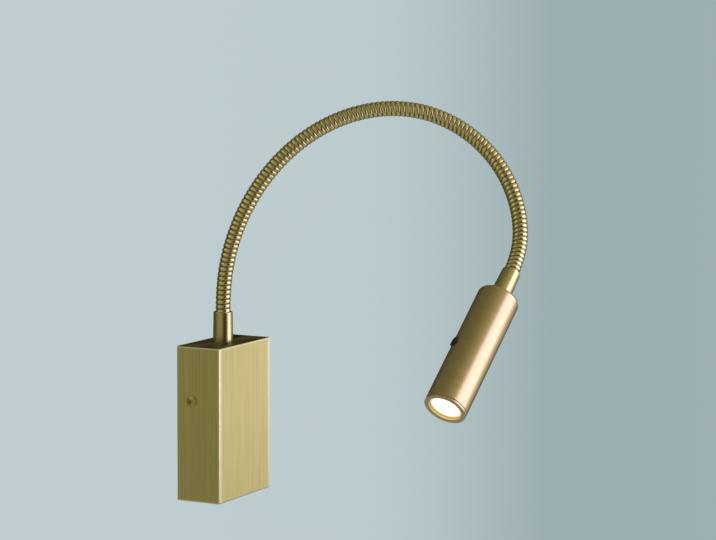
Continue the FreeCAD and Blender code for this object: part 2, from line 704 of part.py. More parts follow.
def neck_lead(centres):
    """Two-core lead from the driver, up through the stem and the neck, into the head."""
    channel = Vector(0, -FERRULE_OUT, 0)
    low = Vector(driver_lead_side, neck_lead_y, driver_top - NECK_LEAD_START)
    leave = Vector(driver_lead_side, neck_lead_y, driver_top + NECK_LEAD_RISE)
    over_clamp = Vector(driver_lead_side - NECK_LEAD_TURN, -FERRULE_OUT, clamp_up)
    under_stem = channel + UP * (inner_top - 2 * STEM_LENGTH + NECK_LEAD_RISE)
    end = head_rear + head_axis * NECK_LEAD_END
    return tube_along([low, leave, over_clamp, under_stem] + centres + [end], NECK_LEAD_RADIUS)


# ---------------------------------------------------------------------------------------------
# Neck links
# ---------------------------------------------------------------------------------------------

def ribs(start, end):
    """Outline points of the ribs from one height up to another, as even as their pitch allows."""
    count = max(1, round((end - start) / NECK_RIB_PITCH))
    pitch = (end - start) / count
    valley = NECK_RADIUS - NECK_RIB_HEIGHT
    steps = [(valley, start)]
    for i in range(count):
        low = start + i * pitch
        steps.append(((NECK_RADIUS, low + pitch / 2), (valley, low + pitch)))
    return steps


def ball_end(centre):
    """Outline from the last rib over the ball to the bore, with the ball's centre at a height."""
    foot = math.sqrt(BALL_RADIUS ** 2 - JOINT_REACH ** 2)
    top = math.sqrt(BALL_RADIUS ** 2 - BALL_TOP ** 2)
    return [(foot, centre - JOINT_REACH),
            ((BALL_RADIUS, centre), (top, centre + BALL_TOP)),
            (NECK_BORE + CUP_BACK / 2, centre + BALL_TOP),
            (NECK_BORE, centre + BALL_TOP - CUP_BACK / 2)]


def cup_inside():
    """Outline of the cup from the bore out to its lip, with the ball's centre at height zero."""
    hollow = BALL_RADIUS + CUP_GAP
    lip = math.sqrt(hollow ** 2 - CUP_LIP ** 2)
    floor = math.sqrt(hollow ** 2 - CUP_DEPTH ** 2)
    return [(NECK_BORE, CUP_DEPTH), (floor, CUP_DEPTH), ((hollow, 0), (lip, -CUP_LIP))]


def middle_link(length):
    """A link with a cup at its lower joint and a ball at its upper joint."""
    return turned(cup_inside() + ribs(-CUP_LIP, length - JOINT_REACH) + ball_end(length))


def first_link():
    """The fixed lower end of the neck: a spigot in the ferrule, ribs and a ball."""
    ribbed = ribs(-NECK_STUB, -JOINT_REACH)
    foot = -NECK_STUB - SPIGOT_LENGTH
    return turned([(NECK_BORE, foot), (NECK_RADIUS - FACE_GAP, foot),
                   (NECK_RADIUS - FACE_GAP, -NECK_STUB)] + ribbed + ball_end(0))


def last_link():
    """The upper end of the neck: a cup and a spigot in the head's ferrule."""
    top = cup_length + SPIGOT_LENGTH
    return turned(cup_inside() + ribs(-CUP_LIP, cup_length - FACE_GAP)
                  + [(HEAD_SPIGOT_RADIUS, cup_length - FACE_GAP), (HEAD_SPIGOT_RADIUS, top),
                     (NECK_BORE, top)])


# ---------------------------------------------------------------------------------------------
# Lamp head, along Z from its rear face, with X towards the switch
# ---------------------------------------------------------------------------------------------

def in_head(shape):
    return aimed(shape, head_rear, head_axis, switch_direction)


def upper_ferrule():
    mouth = -HEAD_FERRULE_LENGTH
    socket = HEAD_SPIGOT_RADIUS + SHAFT_GAP
    radius = HEAD_FERRULE_MOUTH_RADIUS
    edge = HEAD_FERRULE_EDGE
    stem = HEAD_END_WALL + NUT_THICKNESS + 1
    return turned([
        (NECK_BORE, mouth + SPIGOT_LENGTH + FACE_GAP), (socket, mouth + SPIGOT_LENGTH + FACE_GAP),
        (socket, mouth), (radius - edge, mouth), (radius, mouth + edge),
        (HEAD_FERRULE_FOOT_RADIUS, 0), (STEM_RADIUS, 0), (STEM_RADIUS, stem), (NECK_BORE, stem),
    ])


def head_barrel():
    """Turned tube with a closed, rounded rear end."""
    radius = HEAD_RADIUS
    edge = HEAD_EDGE
    arc_in = edge * (1 - math.sqrt(0.5))
    seam = barrel_length - BEZEL_SEAM
    body = turned([
        (STEM_RADIUS + SHAFT_GAP, 0), (radius - edge, 0),
        ((radius - arc_in, arc_in), (radius, edge)), (radius, seam),
        (radius - BEZEL_SEAM, barrel_length), (head_inner, barrel_length),
        (head_inner, HEAD_END_WALL), (STEM_RADIUS + SHAFT_GAP, HEAD_END_WALL),
    ])
    switch_hole = rod(BUTTON_RADIUS + SHAFT_GAP, Vector(head_inner / 2, 0, switch_place),
                      Vector(2 * radius, 0, switch_place))
    return body.cut(switch_hole)


def head_nut():
    return stem_nut(Vector(0, 0, HEAD_END_WALL), UP)


def switch_holder():
    """Plastic plug that fits the barrel and holds the switch in a pocket."""
    plug = Part.makeCylinder(head_inner - SHAFT_GAP, holder_front - holder_back, Vector(0, 0, holder_back))
    half = SWITCH_BODY / 2 + SHAFT_GAP
    pocket = block((SWITCH_BODY_TOP - SWITCH_BODY_HEIGHT - FACE_GAP, 2 * HEAD_RADIUS), (-half, half),
                   (switch_place - half, switch_place + half))
    flange_room = rod(BUTTON_RADIUS + BUTTON_FLANGE + LEAD_GAP, Vector(SWITCH_BODY_TOP, 0, switch_place),
                      Vector(2 * HEAD_RADIUS, 0, switch_place))
    cuts = [pocket, flange_room]
    for side in (-1, 1):
        cuts.append(rod(FINE_CORE_RADIUS + LEAD_GAP, Vector(side * FINE_CORE_OFFSET, 0, holder_back - 1),
                        Vector(side * FINE_CORE_OFFSET, 0, holder_front + 1)))
    relief = Part.makeCylinder(head_inner / 2, holder_front - holder_back,
                               Vector(-head_inner, 0, holder_back))
    return plug.cut(cuts).cut(relief)


def switch_body():
    half = SWITCH_BODY / 2
    body = block((SWITCH_BODY_TOP - SWITCH_BODY_HEIGHT, SWITCH_BODY_TOP), (-half, half),
                 (switch_place - half, switch_place + half))
    depth = BUTTON_STEM_DEPTH + BUTTON_TRAVEL + FACE_GAP
    bore = rod(BUTTON_STEM_RADIUS + SHAFT_GAP, Vector(SWITCH_BODY_TOP - depth, 0, switch_place),
               Vector(SWITCH_BODY_TOP + 1, 0, switch_place))
    return body.cut(bore)


def switch_button():
    """Black button with a guide stem and a flange that keeps it in the barrel."""
    crown = HEAD_RADIUS + BUTTON_PROUD
    stem_end = SWITCH_BODY_TOP - BUTTON_STEM_DEPTH
    seat = math.sqrt(head_inner ** 2 - (BUTTON_RADIUS + BUTTON_FLANGE) ** 2)
    flange_top = seat - SHAFT_GAP
    flange_bottom = flange_top - BUTTON_FLANGE_HEIGHT
    cap = turned([
        (0, stem_end), (BUTTON_STEM_RADIUS, stem_end), (BUTTON_STEM_RADIUS, flange_bottom),
        (BUTTON_RADIUS + BUTTON_FLANGE, flange_bottom), (BUTTON_RADIUS + BUTTON_FLANGE, flange_top),
        (BUTTON_RADIUS, flange_top),
    ] + domed(BUTTON_RADIUS, crown - BUTTON_DOME, crown))
    return aimed(cap, Vector(0, 0, switch_place), RIGHT)


def heat_sink():
    """Round block with cooling grooves, two wire holes and two screw holes."""
    radius = head_inner - SHAFT_GAP
    body = Part.makeCylinder(radius, heat_sink_length, Vector(0, 0, heat_sink_back))
    spacing = heat_sink_length / (2 * HEAT_SINK_GROOVES + 1)
    cuts = []
    for i in range(HEAT_SINK_GROOVES):
        low = heat_sink_back + spacing * (2 * i + 1)
        ring = Part.makeCylinder(radius + 1, spacing, Vector(0, 0, low))
        cuts.append(ring.cut(Part.makeCylinder(radius - HEAT_SINK_GROOVE, spacing, Vector(0, 0, low))))
    for side in (-1, 1):
        x = side * FINE_CORE_OFFSET
        cuts.append(rod(FINE_CORE_RADIUS + LEAD_GAP, Vector(x, 0, heat_sink_back - 1),
                        Vector(x, 0, led_board_back + 1)))
        y = side * LED_SCREW_OFFSET
        cuts.append(rod(LED_SCREW_RADIUS + SHAFT_GAP, Vector(0, y, reflector_back - LED_SCREW_LENGTH - 1),
                        Vector(0, y, reflector_back)))
    return body.cut(cuts)


def led_board():
    disc = Part.makeCylinder(LED_BOARD_RADIUS, LED_BOARD_THICKNESS, Vector(0, 0, led_board_back))
    cuts = []
    for side in (-1, 1):
        x = side * FINE_CORE_OFFSET
        y = side * LED_SCREW_OFFSET
        cuts.append(rod(FINE_CORE_RADIUS + SHAFT_GAP, Vector(x, 0, 0), Vector(x, 0, HEAD_LENGTH)))
        cuts.append(rod(LED_SCREW_RADIUS + SCREW_GAP, Vector(0, y, 0), Vector(0, y, HEAD_LENGTH)))
    return disc.cut(cuts)


def led_board_screws():
    shape = slotted_screw(LED_SCREW_RADIUS, LED_SCREW_LENGTH, LED_SCREW_HEAD_RADIUS, LED_SCREW_HEAD_HEIGHT)
    return Part.makeCompound([aimed(shape, Vector(0, side * LED_SCREW_OFFSET, reflector_back), UP)
                              for side in (-1, 1)])


def led_emitter():
    """Square carrier with the round light-giving surface on it."""
    half = EMITTER_RADIUS * 0.95
    carrier = block((-half, half), (-half, half), (reflector_back, reflector_back + EMITTER_HEIGHT / 2))
    trimmed = carrier.common(Part.makeCylinder(EMITTER_RADIUS, HEAD_LENGTH))
    dome = Part.makeCylinder(EMITTER_RADIUS * 0.8, EMITTER_HEIGHT, Vector(0, 0, reflector_back))
    return union([trimmed, dome])


def reflector():
    """Open cone that rests on the board and reaches the back of the lens."""
    back = EMITTER_RADIUS + LEAD_GAP
    front = head_inner - BEZEL_SKIRT_WALL - 2 * SHAFT_GAP - REFLECTOR_WALL
    return turned([
        (back, reflector_back), (back + REFLECTOR_WALL, reflector_back),
        (front + REFLECTOR_WALL, lens_back - FACE_GAP), (front, lens_back - FACE_GAP),
    ])


def lens():
    """Frosted disc with a softened front edge."""
    radius = head_inner - BEZEL_SKIRT_WALL - 2 * SHAFT_GAP
    disc = Part.makeCylinder(radius, LENS_THICKNESS - FACE_GAP, Vector(0, 0, lens_back))
    return disc


def bezel_ring():
    """Ring that screws into the barrel and keeps the lens in place."""
    skirt_outer = head_inner - SHAFT_GAP
    skirt_inner = skirt_outer - BEZEL_SKIRT_WALL
    front = HEAD_LENGTH
    edge = BEZEL_EDGE
    arc_in = edge * (1 - math.sqrt(0.5))
    seat = barrel_length + FACE_GAP
    return turned([
        (BEZEL_OPENING, lens_front), (BEZEL_OPENING, front - edge),
        ((BEZEL_OPENING + arc_in, front - arc_in), (BEZEL_OPENING + edge, front)),
        (HEAD_RADIUS - edge, front),
        ((HEAD_RADIUS - arc_in, front - arc_in), (HEAD_RADIUS, front - edge)),
        (HEAD_RADIUS, seat + BEZEL_SEAM), (HEAD_RADIUS - BEZEL_SEAM, seat),
        (skirt_outer, seat), (skirt_outer, skirt_back), (skirt_inner, skirt_back),
        (skirt_inner, lens_front),
    ])


def feed_core():
    """From the end of the neck lead to the back of the switch."""
    start = NECK_LEAD_END + FACE_GAP
    span = holder_back - start
    points = [Vector(CORE_SPLIT, 0, start), Vector(CORE_SPLIT, 0, start + span / 4),
              Vector(FINE_CORE_OFFSET, 0, holder_back - span / 4),
              Vector(FINE_CORE_OFFSET, 0, switch_place - SWITCH_BODY / 2)]
    return tube_along(points, FINE_CORE_RADIUS)


def switched_core():
    """From the front of the switch through the heat sink to the board."""
    return rod(FINE_CORE_RADIUS, Vector(FINE_CORE_OFFSET, 0, switch_place + SWITCH_BODY / 2),
               Vector(FINE_CORE_OFFSET, 0, reflector_back + FINE_CORE_RADIUS))


def return_core():
    """From the end of the neck lead past the switch and through the heat sink to the board."""
    start = NECK_LEAD_END + FACE_GAP
    span = holder_back - start
    points = [Vector(-CORE_SPLIT, 0, start), Vector(-CORE_SPLIT, 0, start + span / 4),
              Vector(-FINE_CORE_OFFSET, 0, holder_back - span / 4),
              Vector(-FINE_CORE_OFFSET, 0, reflector_back + FINE_CORE_RADIUS)]
    return tube_along(points, FINE_CORE_RADIUS)


# ---------------------------------------------------------------------------------------------
# Build
# ---------------------------------------------------------------------------------------------

def base_pieces():
    driver_stack = DRIVER_TAB_THICKNESS
    return {
        "base_cover": base_cover(),
        "wall_bracket": wall_bracket(),
        "cover_screws": Part.makeCompound([cover_screw(-1), cover_screw(1)]),
        "lower_ferrule": lower_ferrule(),
        "ferrule_washer": ferrule_washer(),
        "ferrule_nut": stem_nut(ferrule_foot - UP * (COVER_WALL + WASHER_THICKNESS), -UP),
        "terminal_block": terminal_block(),
        "terminal_screws": terminal_screws(),
        "terminal_mount_screw": plate_screw(terminal_screw_x, terminal_middle, plate_front - terminal_seat),
        "earth_screw": plate_screw(earth_x, earth_up, LUG_THICKNESS, EARTH_SCREW_RADIUS,
                                   EARTH_SCREW_HEAD_RADIUS, EARTH_SCREW_HEAD_HEIGHT),
        "earth_lead": earth_lead(),
        "live_lead": mains_core(pole_places[0], driver_core_places[0]),
        "neutral_lead": mains_core(pole_places[1], driver_core_places[1]),
        "supply_grommet": supply_grommet(),
        "cord_clamp": cord_clamp(),
        "cord_clamp_screws": Part.makeCompound(
            [plate_screw(x, clamp_up, CLAMP_THICKNESS) for x in clamp_screw_places]),
        "driver_case": driver_case(),
        "driver_lid": driver_lid(),
        "driver_board": driver_board(),
        "driver_transformer": driver_transformer(),
        "driver_capacitors": driver_capacitors(),
        "driver_chips": driver_chips(),
        "driver_screws": Part.makeCompound([plate_screw(x, z, driver_stack) for x, z in driver_screw_places]),
    }


def neck_pieces(centres):
    pieces = {"neck_link_01": aimed(first_link(), centres[0], UP)}
    pitch = centres[0].distanceToPoint(centres[1])
    link = middle_link(pitch)
    for i, (low, high) in enumerate(zip(centres, centres[1:])):
        pieces["neck_link_%02d" % (i + 2)] = aimed(link, low, high - low)
    pieces["neck_link_%02d" % (NECK_JOINTS + 1)] = aimed(last_link(), centres[-1], head_axis)
    pieces["neck_lead"] = neck_lead(centres)
    return pieces


def head_pieces():
    pieces = {
        "upper_ferrule": upper_ferrule(),
        "head_nut": head_nut(),
        "head_barrel": head_barrel(),
        "switch_holder": switch_holder(),
        "switch_body": switch_body(),
        "switch_button": switch_button(),
        "heat_sink": heat_sink(),
        "led_board": led_board(),
        "led_board_screws": led_board_screws(),
        "led_emitter": led_emitter(),
        "reflector": reflector(),
        "lens": lens(),
        "bezel_ring": bezel_ring(),
        "feed_core": feed_core(),
        "switched_core": switched_core(),
        "return_core": return_core(),
    }
    return {name: in_head(shape) for name, shape in pieces.items()}


def main():
    os.makedirs("parts", exist_ok=True)
    pieces = base_pieces()
    pieces.update(neck_pieces(joint_centres()))
    pieces.update(head_pieces())
    for name, shape in pieces.items():
        save(name, shape)
    print(len(pieces), "nodes")


main()
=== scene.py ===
import json
import math

import bpy
import numpy as np
from mathutils import Matrix, Vector

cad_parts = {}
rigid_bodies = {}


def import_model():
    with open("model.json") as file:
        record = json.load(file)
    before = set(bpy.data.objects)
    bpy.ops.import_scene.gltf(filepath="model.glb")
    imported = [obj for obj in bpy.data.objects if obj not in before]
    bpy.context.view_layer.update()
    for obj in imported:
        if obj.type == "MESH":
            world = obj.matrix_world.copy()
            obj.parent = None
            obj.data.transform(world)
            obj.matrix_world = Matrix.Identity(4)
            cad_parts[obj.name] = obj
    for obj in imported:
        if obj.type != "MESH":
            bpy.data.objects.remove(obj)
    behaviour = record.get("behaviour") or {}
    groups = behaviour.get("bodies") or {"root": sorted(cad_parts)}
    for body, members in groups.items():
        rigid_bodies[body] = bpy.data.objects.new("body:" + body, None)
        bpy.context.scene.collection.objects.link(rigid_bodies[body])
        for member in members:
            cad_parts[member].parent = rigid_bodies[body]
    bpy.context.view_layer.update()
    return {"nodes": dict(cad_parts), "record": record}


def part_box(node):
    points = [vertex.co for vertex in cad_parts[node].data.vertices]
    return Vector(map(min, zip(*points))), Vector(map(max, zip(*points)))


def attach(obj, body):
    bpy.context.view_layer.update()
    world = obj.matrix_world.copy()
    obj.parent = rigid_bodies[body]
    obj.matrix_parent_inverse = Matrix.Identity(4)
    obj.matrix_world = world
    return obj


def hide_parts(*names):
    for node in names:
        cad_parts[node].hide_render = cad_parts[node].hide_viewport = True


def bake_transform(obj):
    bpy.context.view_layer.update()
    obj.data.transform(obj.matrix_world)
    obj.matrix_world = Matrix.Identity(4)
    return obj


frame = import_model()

JOINTS = [j for j in frame["record"]["behaviour"]["joints"] if j["type"] == "hinge"]
CENTRES = [Vector(j["pos_m"]) for j in JOINTS]
LINK_BODIES = [JOINTS[0]["parent"]] + [j["child"] for j in JOINTS]
MM = 0.001


# ---------------------------------------------------------------------------------------------
# Node materials
# ---------------------------------------------------------------------------------------------

class Tree:
    """Short way to write a material or world as nodes."""

    def __init__(self, owner):
        owner.use_nodes = True
        self.tree = owner.node_tree
        self.tree.nodes.clear()

    def add(self, kind, settings=None, **inputs):
        node = self.tree.nodes.new("ShaderNode" + kind)
        for name, value in (settings or {}).items():
            setattr(node, name, value)
        for name, value in inputs.items():
            self.put(node, name.replace("_", " "), value)
        return node

    def put(self, node, socket, value):
        target = node.inputs[int(socket)] if str(socket).isdigit() else node.inputs[socket]
        if isinstance(value, bpy.types.NodeSocket):
            self.tree.links.new(value, target)
        else:
            target.default_value = value

    def math(self, operation, a, b=0.0, c=0.0):
        node = self.add("Math", {"operation": operation})
        for index, value in enumerate((a, b, c)):
            self.put(node, index, value)
        return node.outputs[0]

    def towards(self, direction, aim):
        node = self.add("VectorMath", {"operation": "DOT_PRODUCT"})
        self.put(node, 0, direction)
        self.put(node, 1, aim)
        return node.outputs["Value"]

    def mix(self, share, a, b):
        node = self.add("Mix", {"data_type": "RGBA"})
        self.put(node, 0, share)
        self.put(node, 6, a)
        self.put(node, 7, b)
        return node.outputs[2]

    def ramp(self, value, *stops):
        node = self.add("ValToRGB", Fac=value)
        steps = node.color_ramp.elements
        while len(steps) < len(stops):
            steps.new(0.5)
        for step, (place, colour) in zip(steps, stops):
            step.position = place
            step.color = colour
        return node.outputs[0]


def rgb(red, green, blue):
    return (red, green, blue, 1.0)


NONE, FULL = rgb(0, 0, 0), rgb(1, 1, 1)


def along_axis(tree, origin, axis, side):
    """Object coordinates turned so that Z runs along an axis and X to a side, in millimetres."""
    z = Vector(axis).normalized()
    x = (Vector(side) - z * Vector(side).dot(z)).normalized()
    turn = Matrix((x, z.cross(x), z))
    shift = -(turn @ Vector(origin)) / MM
    place = tree.add("TexCoord").outputs["Object"]
    mapping = tree.add("Mapping", Vector=place)
    mapping.inputs["Location"].default_value = shift
    mapping.inputs["Rotation"].default_value = turn.to_euler()
    mapping.inputs["Scale"].default_value = (1 / MM,) * 3
    return mapping.outputs[0]


def stretched(tree, place, scale):
    return tree.add("Mapping", Vector=place, Scale=scale).outputs[0]


def noise(tree, place, scale, detail=3.0, rough=0.55):
    return tree.add("TexNoise", Vector=place, Scale=scale, Detail=detail, Roughness=rough).outputs[0]


def finish_material(tree, shader):
    tree.tree.links.new(shader.outputs[0], tree.add("OutputMaterial").inputs["Surface"])


def edge_mask(tree, where, half):
    """One on the rounded edges of a box of these half sizes, in millimetres, and nought on its faces: the
    band where a highlight is painted.
    """
    parts = tree.add("SeparateXYZ", Vector=where)
    past = []
    for i in range(3):
        inside = tree.math("SUBTRACT", tree.math("ABSOLUTE", parts.outputs[i]), half[i] - EDGE_HIGHLIGHT_WIDTH[i])
        past.append(tree.math("DIVIDE", inside, EDGE_HIGHLIGHT_WIDTH[i] * EDGE_HIGHLIGHT_FADE))
    pairs = [tree.math("MINIMUM", past[a], past[b]) for a, b in ((0, 1), (1, 2), (0, 2))]
    nearest = tree.math("MAXIMUM", tree.math("MAXIMUM", pairs[0], pairs[1]), pairs[2])
    return tree.math("MINIMUM", tree.math("MAXIMUM", nearest, 0.0), 1.0)


def surface(name, dark, light, metallic, rough, spread=0.06, place=None, scale=(1, 1, 1), size=0.35,
            bump=0.02, specular=0.5, anisotropy=0.0, coat=None, edges=None):
    """A surface whose tone, sheen and fine relief all follow one noise, stretched along its grain.
    With the half sizes of a box as its edges it has a painted highlight along them, a lighter and smoother
    band, and its end faces have painted shade, a darker tone."""
    material = bpy.data.materials.new(name)
    tree = Tree(material)
    origin, axis, side = place or ((0, 0, 0), (0, 0, 1), (1, 0, 0))
    where = along_axis(tree, origin, axis, side)
    grain = noise(tree, stretched(tree, where, scale), size)
    cloud = noise(tree, stretched(tree, where, scale), size * 0.22, 2.0)
    tone = tree.math("ADD", tree.math("MULTIPLY", grain, 0.65), tree.math("MULTIPLY", cloud, 0.35))
    colour = tree.ramp(tone, (0.3, rgb(*dark)), (0.7, rgb(*light)))
    sheen = tree.math("MULTIPLY_ADD", tone, 2 * spread, rough - spread)
    if edges:
        # painted highlight: a lighter, smoother band along the box's edges, where they catch the key light
        painted_glint = edge_mask(tree, where, edges)
        colour = tree.mix(tree.math("MULTIPLY", painted_glint, EDGE_HIGHLIGHT_SHARE), colour, rgb(*EDGE_HIGHLIGHT_TONE))
        sheen = tree.math("MULTIPLY", sheen, tree.math("MULTIPLY_ADD", painted_glint, EDGE_HIGHLIGHT_SHEEN, 1.0))
        # painted shade: the top and bottom faces get a much darker tone
        height = tree.math("ABSOLUTE", tree.add("SeparateXYZ", Vector=where).outputs[2])
        end = tree.math("GREATER_THAN", height, edges[2] - END_DEPTH)
        colour = tree.mix(end, colour, rgb(*COVER_END_SHADE))
        sheen = tree.math("MULTIPLY", sheen, tree.math("MULTIPLY_ADD", end, END_SHEEN, 1.0))
    relief = tree.add("Bump", Height=grain, Strength=0.4, Distance=bump * MM)
    shader = tree.add("BsdfPrincipled", Base_Color=colour, Roughness=sheen, Normal=relief.outputs[0])
    shader.inputs["Metallic"].default_value = metallic
    shader.inputs["Specular IOR Level"].default_value = specular
    if anisotropy:
        shader.inputs["Anisotropic"].default_value = anisotropy
        tangent = tree.add("Tangent", {"direction_type": "RADIAL", "axis": "Z"})
        tree.tree.links.new(tangent.outputs[0], shader.inputs["Tangent"])
    if coat:
        tree.put(shader, "Coat Weight", tree.math("SUBTRACT", 1.0, end) if edges else 1.0)
        shader.inputs["Coat IOR"].default_value, shader.inputs["Coat Roughness"].default_value = coat
    finish_material(tree, shader)
    return material


# ---------------------------------------------------------------------------------------------
# Where the head lies
# ---------------------------------------------------------------------------------------------

def head_place():
    """Rear face middle, direction and switch direction of the head, read from its pieces."""
    press = next(j for j in frame["record"]["behaviour"]["joints"] if j["type"] == "slide")
    switch = -Vector(press["axis"])
    ends = []
    for node in ("head_barrel", "bezel_ring"):
        points = np.array([v.co for v in frame["nodes"][node].data.vertices], float)
        ends.append(Vector((points.min(0) + points.max(0)) / 2))
    axis = (ends[1] - ends[0]).normalized()
    axis = (axis - switch * axis.dot(switch)).normalized()
    along = np.array([v.co for v in frame["nodes"]["head_barrel"].data.vertices], float) @ np.array(axis)
    rear = ends[0] + axis * (along.min() - ends[0].dot(axis))
    return rear, axis, switch


HEAD_REAR, HEAD_AXIS, SWITCH_SIDE = head_place()
HEAD_GRAIN = (HEAD_REAR, HEAD_AXIS, SWITCH_SIDE)
FERRULE_GRAIN = (CENTRES[0], (0, 0, 1), (1, 0, 0))

BRASS_DARK = (0.54, 0.445, 0.12)
BRASS_LIGHT = (0.66, 0.55, 0.165)
HEAD_DARK = (0.54, 0.405, 0.13)
HEAD_LIGHT = (0.66, 0.50, 0.18)
NECK_DARK = (0.74, 0.62, 0.20)
NECK_LIGHT = (0.90, 0.78, 0.31)
COVER_DARK = (0.82, 0.735, 0.20)
COVER_LIGHT = (1.00, 0.92, 0.33)
# painted highlight: a nearly white brass tone laid in a band along the cover's edges
EDGE_HIGHLIGHT_TONE = (1.00, 0.94, 0.46)
COVER_EDGES = (33.0, 31.0, 50.0)    # half width, depth and half height of the cover, in millimetres
# painted shade of the cover's top and bottom faces, far darker than the brass
COVER_END_SHADE = (0.15, 0.12, 0.035)
EDGE_HIGHLIGHT_WIDTH = (4.0, 1.1, 1.3)    # millimetres in from the sides, the front and the ends, over which the edge highlight is painted
EDGE_HIGHLIGHT_FADE = 0.6                # share of that width over which the painted highlight comes in
EDGE_HIGHLIGHT_SHARE = 0.95
EDGE_HIGHLIGHT_SHEEN = -0.35             # the painted edge highlight is smoother by this share, and an end face by the next
END_SHEEN = -0.25
END_DEPTH = 0.2                # millimetres of the ends that have the painted shade of the end faces


def lens_material():
    """Frosted lens, lit from behind: white in the middle and warm at its rim."""
    material = bpy.data.materials.new("lens_lit")
    tree = Tree(material)
    where = along_axis(tree, HEAD_REAR, HEAD_AXIS, SWITCH_SIDE)
    parts = tree.add("SeparateXYZ", Vector=where)
    across = tree.add("CombineXYZ", X=parts.outputs[0], Y=parts.outputs[1])
    distance = tree.add("VectorMath", {"operation": "LENGTH"})
    tree.put(distance, 0, across.outputs[0])
    share = tree.math("DIVIDE", distance.outputs["Value"], LENS_RADIUS / MM)
    frost = noise(tree, where, 2.5)
    glow = tree.ramp(share, (0.0, rgb(1.0, 0.97, 0.88)), (0.70, rgb(1.0, 0.93, 0.74)),
                     (0.90, rgb(1.0, 0.74, 0.36)), (0.97, rgb(0.85, 0.45, 0.14)))
    power = tree.ramp(share, (0.0, rgb(1, 1, 1)), (0.72, rgb(0.8, 0.8, 0.8)), (0.97, rgb(0.15, 0.15, 0.15)))
    strength = tree.math("MULTIPLY", power, tree.math("MULTIPLY_ADD", frost, 0.3, LENS_STRENGTH))
    shader = tree.add("BsdfPrincipled", Base_Color=rgb(0.9, 0.88, 0.82), Emission_Color=glow,
                      Emission_Strength=strength)
    shader.inputs["Roughness"].default_value = 0.45
    finish_material(tree, shader)
    return material


LENS_RADIUS = 10.9 * MM
LENS_STRENGTH = 1.6


def wire_material(name, dark, light):
    return surface(name, dark, light, 0.0, 0.42, size=0.8, bump=0.01)


def make_materials():
    cover_grain = ((0, 0, 0), (0, 0, 1), (1, 0, 0))
    brushed = dict(metallic=1.0, rough=0.65, spread=0.05, place=cover_grain, scale=(1, 1, 0.012), size=1.6,
                   bump=0.012, anisotropy=0.85, coat=(1.5, 0.35), edges=COVER_EDGES)
    turned = dict(metallic=1.0, rough=0.34, spread=0.04, scale=(0.012, 0.012, 1), size=1.8, bump=0.01,
                  coat=(1.5, 0.25))
    plastic = dict(metallic=0.0, rough=0.5, size=1.2, bump=0.015)
    steel = dict(metallic=1.0, rough=0.38, size=0.25, bump=0.01)
    return {
        "cover": surface("brushed_brass", COVER_DARK, COVER_LIGHT, **brushed),
        "head": surface("turned_brass_head", HEAD_DARK, HEAD_LIGHT, place=HEAD_GRAIN, **turned),
        "ferrule": surface("turned_brass_ferrule", BRASS_DARK, BRASS_LIGHT, place=FERRULE_GRAIN,
                           **dict(turned, rough=0.22)),
        "head_ferrule": surface("turned_brass_top", BRASS_DARK, BRASS_LIGHT, place=HEAD_GRAIN,
                                **dict(turned, rough=0.26)),
        "screw": surface("brass_screws", BRASS_DARK, BRASS_LIGHT, 1.0, 0.42, size=0.8, bump=0.008),
        "steel": surface("zinc_steel", (0.42, 0.43, 0.44), (0.56, 0.57, 0.58), **steel),
        "black": surface("black_plastic", (0.010, 0.010, 0.011), (0.022, 0.022, 0.024), **plastic),
        "white": surface("white_plastic", (0.70, 0.70, 0.68), (0.80, 0.80, 0.78), **plastic),
        "grey": surface("grey_plastic", (0.20, 0.21, 0.22), (0.27, 0.28, 0.29), **plastic),
        "board": surface("green_board", (0.015, 0.09, 0.035), (0.03, 0.15, 0.06), 0.0, 0.35, size=0.5),
        "tape": surface("yellow_tape", (0.55, 0.38, 0.05), (0.70, 0.52, 0.09), 0.0, 0.3,
                        scale=(1, 1, 4), size=0.5),
        "sleeve": surface("dark_sleeve", (0.015, 0.02, 0.07), (0.03, 0.04, 0.12), 0.0, 0.25, size=0.5),
        "brown": wire_material("brown_core", (0.07, 0.025, 0.010), (0.11, 0.045, 0.018)),
        "blue": wire_material("blue_core", (0.010, 0.07, 0.30), (0.02, 0.11, 0.42)),
        "jacket": wire_material("grey_lead", (0.05, 0.05, 0.052), (0.08, 0.08, 0.083)),
        "red": wire_material("red_core", (0.35, 0.01, 0.008), (0.50, 0.02, 0.015)),
        "black_wire": wire_material("black_core", (0.012, 0.012, 0.012), (0.025, 0.025, 0.025)),
        "earth": earth_material(),
        "rubber": surface("black_rubber", (0.014, 0.014, 0.014), (0.028, 0.028, 0.028), 0.0, 0.7, size=1.5),
        "aluminium": surface("turned_aluminium", (0.58, 0.59, 0.60), (0.72, 0.73, 0.74), 1.0, 0.35,
                             place=HEAD_GRAIN, scale=(0.05, 0.05, 1), size=2.0),
        "board_white": surface("white_board", (0.68, 0.68, 0.66), (0.80, 0.80, 0.78), 0.0, 0.4, size=1.0),
        "phosphor": surface("phosphor", (0.75, 0.50, 0.06), (0.90, 0.66, 0.12), 0.0, 0.5, size=3.0),
        "mirror": surface("mirror_coat", (0.82, 0.82, 0.83), (0.90, 0.90, 0.91), 1.0, 0.12, 0.02, size=1.0,
                          bump=0.004),
        "lens": lens_material(),
    }


def earth_material():
    """Green insulation with a yellow stripe."""
    material = bpy.data.materials.new("earth_core")
    tree = Tree(material)
    where = along_axis(tree, (0, 0, 0), (0, 0, 1), (1, 0, 0))
    speck = noise(tree, where, 0.9)
    wave = tree.add("TexWave", {"bands_direction": "DIAGONAL"}, Vector=where, Scale=0.16, Distortion=0.3)
    green = tree.mix(speck, rgb(0.03, 0.22, 0.03), rgb(0.05, 0.32, 0.05))
    yellow = tree.mix(speck, rgb(0.60, 0.48, 0.02), rgb(0.75, 0.60, 0.04))
    stripe = tree.math("GREATER_THAN", wave.outputs["Fac"], 0.5)
    shader = tree.add("BsdfPrincipled", Base_Color=tree.mix(stripe, green, yellow),
                      Roughness=tree.math("MULTIPLY_ADD", speck, 0.1, 0.38))
    finish_material(tree, shader)
    return material


